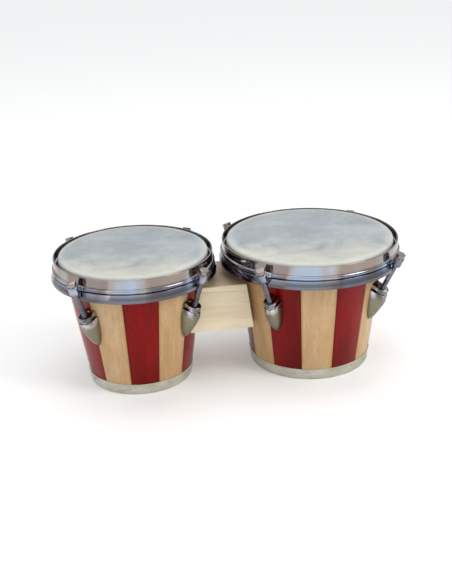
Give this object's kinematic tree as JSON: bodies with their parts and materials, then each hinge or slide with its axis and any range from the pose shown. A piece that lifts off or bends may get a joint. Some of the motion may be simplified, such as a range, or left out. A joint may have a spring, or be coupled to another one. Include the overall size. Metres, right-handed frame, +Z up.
{
  "type": "bongo drums",
  "caption": "Small and large stave-built hand drums with rawhide heads, tension rims, slanting tuning bolts and lugs, joined side by side by a wooden block.",
  "frame": {"origin": "on the floor plane, under the middle of the pair's outline", "axes": "+Z up along both drum axes, +X from the small drum to the large drum, -Y towards the player's view of the pair in the picture"},
  "size_m": [0.4184, 0.219, 0.1578],
  "materials": {
    "red_lacquer": "dark red gloss lacquer over wood",
    "natural_wood": "clear gloss lacquer over pale wood",
    "block_wood": "pale bare wood, light satin coat",
    "chrome": "bright chrome plating",
    "band_metal": "dull plated steel strip",
    "steel": "zinc-plated steel",
    "rawhide": "scraped rawhide, cloudy grey-white"
  },
  "bodies": {
    "drums": {"block_body": "block_wood", "block_cap": "block_wood", "block_inserts": "steel", "small_red_staves": "red_lacquer", "small_natural_staves": "natural_wood", "small_foot_band": "band_metal", "small_band_nails": "steel", "small_head_skin": "rawhide", "small_skin_collar": "rawhide", "small_lugs": "chrome", "small_lug_nuts": "steel", "small_lug_screws": "steel", "small_lug_washers": "steel", "small_block_bolts": "steel", "small_clamp_plate": "steel", "large_red_staves": "red_lacquer", "large_natural_staves": "natural_wood", "large_foot_band": "band_metal", "large_band_nails": "steel", "large_head_skin": "rawhide", "large_skin_collar": "rawhide", "large_lugs": "chrome", "large_lug_nuts": "steel", "large_lug_screws": "steel", "large_lug_washers": "steel", "large_block_bolts": "steel", "large_clamp_plate": "steel"},
    "small_rim_group": {"small_rim": "chrome", "small_rim_wire": "chrome", "small_ears": "chrome", "small_flesh_hoop": "steel", "small_skin_tuck": "rawhide"},
    "small_washer_1": {"small_bolt_washer_1": "chrome"},
    "small_bolt_1": {"small_tuning_bolt_1": "chrome"},
    "small_washer_2": {"small_bolt_washer_2": "chrome"},
    "small_bolt_2": {"small_tuning_bolt_2": "chrome"},
    "small_washer_3": {"small_bolt_washer_3": "chrome"},
    "small_bolt_3": {"small_tuning_bolt_3": "chrome"},
    "small_washer_4": {"small_bolt_washer_4": "chrome"},
    "small_bolt_4": {"small_tuning_bolt_4": "chrome"},
    "large_rim_group": {"large_rim": "chrome", "large_rim_wire": "chrome", "large_ears": "chrome", "large_flesh_hoop": "steel", "large_skin_tuck": "rawhide"},
    "large_washer_1": {"large_bolt_washer_1": "chrome"},
    "large_bolt_1": {"large_tuning_bolt_1": "chrome"},
    "large_washer_2": {"large_bolt_washer_2": "chrome"},
    "large_bolt_2": {"large_tuning_bolt_2": "chrome"},
    "large_washer_3": {"large_bolt_washer_3": "chrome"},
    "large_bolt_3": {"large_tuning_bolt_3": "chrome"},
    "large_washer_4": {"large_bolt_washer_4": "chrome"},
    "large_bolt_4": {"large_tuning_bolt_4": "chrome"}
  },
  "joints": [
    {"name": "small_rim_travel", "type": "slide", "parent": "drums", "child": "small_rim_group", "axis": [0, 0, -1], "range_m": [-0.0015, 0.002]},
    {"name": "small_bolt_1_feed", "type": "slide", "parent": "drums", "child": "small_washer_1", "axis": [0.2305, 0.2305, -0.9454], "range_m": [-0.00143, 0.0019]},
    {"name": "small_bolt_1_turn", "type": "hinge", "parent": "small_washer_1", "child": "small_bolt_1", "pos_m": [-0.18198, -0.06973, 0.1385], "axis": [0.2305, 0.2305, -0.9454], "range_deg": [-403, 537]},
    {"name": "small_bolt_2_feed", "type": "slide", "parent": "drums", "child": "small_washer_2", "axis": [-0.2305, 0.2305, -0.9454], "range_m": [-0.00143, 0.0019]},
    {"name": "small_bolt_2_turn", "type": "hinge", "parent": "small_washer_2", "child": "small_bolt_2", "pos_m": [-0.04252, -0.06973, 0.1385], "axis": [-0.2305, 0.2305, -0.9454], "range_deg": [-403, 537]},
    {"name": "small_bolt_3_feed", "type": "slide", "parent": "drums", "child": "small_washer_3", "axis": [-0.2305, -0.2305, -0.9454], "range_m": [-0.00143, 0.0019]},
    {"name": "small_bolt_3_turn", "type": "hinge", "parent": "small_washer_3", "child": "small_bolt_3", "pos_m": [-0.04252, 0.06973, 0.1385], "axis": [-0.2305, -0.2305, -0.9454], "range_deg": [-403, 537]},
    {"name": "small_bolt_4_feed", "type": "slide", "parent": "drums", "child": "small_washer_4", "axis": [0.2305, -0.2305, -0.9454], "range_m": [-0.00143, 0.0019]},
    {"name": "small_bolt_4_turn", "type": "hinge", "parent": "small_washer_4", "child": "small_bolt_4", "pos_m": [-0.18198, 0.06973, 0.1385], "axis": [0.2305, -0.2305, -0.9454], "range_deg": [-403, 537]},
    {"name": "large_rim_travel", "type": "slide", "parent": "drums", "child": "large_rim_group", "axis": [0, 0, -1], "range_m": [-0.0015, 0.002]},
    {"name": "large_bolt_1_feed", "type": "slide", "parent": "drums", "child": "large_washer_1", "axis": [0.28, 0.311, -0.9082], "range_m": [-0.00137, 0.00183]},
    {"name": "large_bolt_1_turn", "type": "hinge", "parent": "large_washer_1", "child": "large_bolt_1", "pos_m": [0.02526, -0.08273, 0.1385], "axis": [0.28, 0.311, -0.9082], "range_deg": [-388, 516]},
    {"name": "large_bolt_2_feed", "type": "slide", "parent": "drums", "child": "large_washer_2", "axis": [-0.311, 0.28, -0.9082], "range_m": [-0.00137, 0.00183]},
    {"name": "large_bolt_2_turn", "type": "hinge", "parent": "large_washer_2", "child": "large_bolt_2", "pos_m": [0.18248, -0.07449, 0.1385], "axis": [-0.311, 0.28, -0.9082], "range_deg": [-388, 516]},
    {"name": "large_bolt_3_feed", "type": "slide", "parent": "drums", "child": "large_washer_3", "axis": [-0.28, -0.311, -0.9082], "range_m": [-0.00137, 0.00183]},
    {"name": "large_bolt_3_turn", "type": "hinge", "parent": "large_washer_3", "child": "large_bolt_3", "pos_m": [0.17424, 0.08273, 0.1385], "axis": [-0.28, -0.311, -0.9082], "range_deg": [-388, 516]},
    {"name": "large_bolt_4_feed", "type": "slide", "parent": "drums", "child": "large_washer_4", "axis": [0.311, -0.28, -0.9082], "range_m": [-0.00137, 0.00183]},
    {"name": "large_bolt_4_turn", "type": "hinge", "parent": "large_washer_4", "child": "large_bolt_4", "pos_m": [0.01702, 0.07449, 0.1385], "axis": [0.311, -0.28, -0.9082], "range_deg": [-388, 516]}
  ],
  "couplings": [
    {"joint": "small_bolt_1_feed", "follows": "small_rim_travel", "ratio": 0.94536},
    {"joint": "small_bolt_1_turn", "follows": "small_rim_travel", "rad_per_m": 4677.1},
    {"joint": "small_bolt_2_feed", "follows": "small_rim_travel", "ratio": 0.94536},
    {"joint": "small_bolt_2_turn", "follows": "small_rim_travel", "rad_per_m": 4677.1},
    {"joint": "small_bolt_3_feed", "follows": "small_rim_travel", "ratio": 0.94536},
    {"joint": "small_bolt_3_turn", "follows": "small_rim_travel", "rad_per_m": 4677.1},
    {"joint": "small_bolt_4_feed", "follows": "small_rim_travel", "ratio": 0.94536},
    {"joint": "small_bolt_4_turn", "follows": "small_rim_travel", "rad_per_m": 4677.1},
    {"joint": "large_bolt_1_feed", "follows": "large_rim_travel", "ratio": 0.90825},
    {"joint": "large_bolt_1_turn", "follows": "large_rim_travel", "rad_per_m": 4493.5},
    {"joint": "large_bolt_2_feed", "follows": "large_rim_travel", "ratio": 0.90825},
    {"joint": "large_bolt_2_turn", "follows": "large_rim_travel", "rad_per_m": 4493.5},
    {"joint": "large_bolt_3_feed", "follows": "large_rim_travel", "ratio": 0.90825},
    {"joint": "large_bolt_3_turn", "follows": "large_rim_travel", "rad_per_m": 4493.5},
    {"joint": "large_bolt_4_feed", "follows": "large_rim_travel", "ratio": 0.90825},
    {"joint": "large_bolt_4_turn", "follows": "large_rim_travel", "rad_per_m": 4493.5}
  ]
}
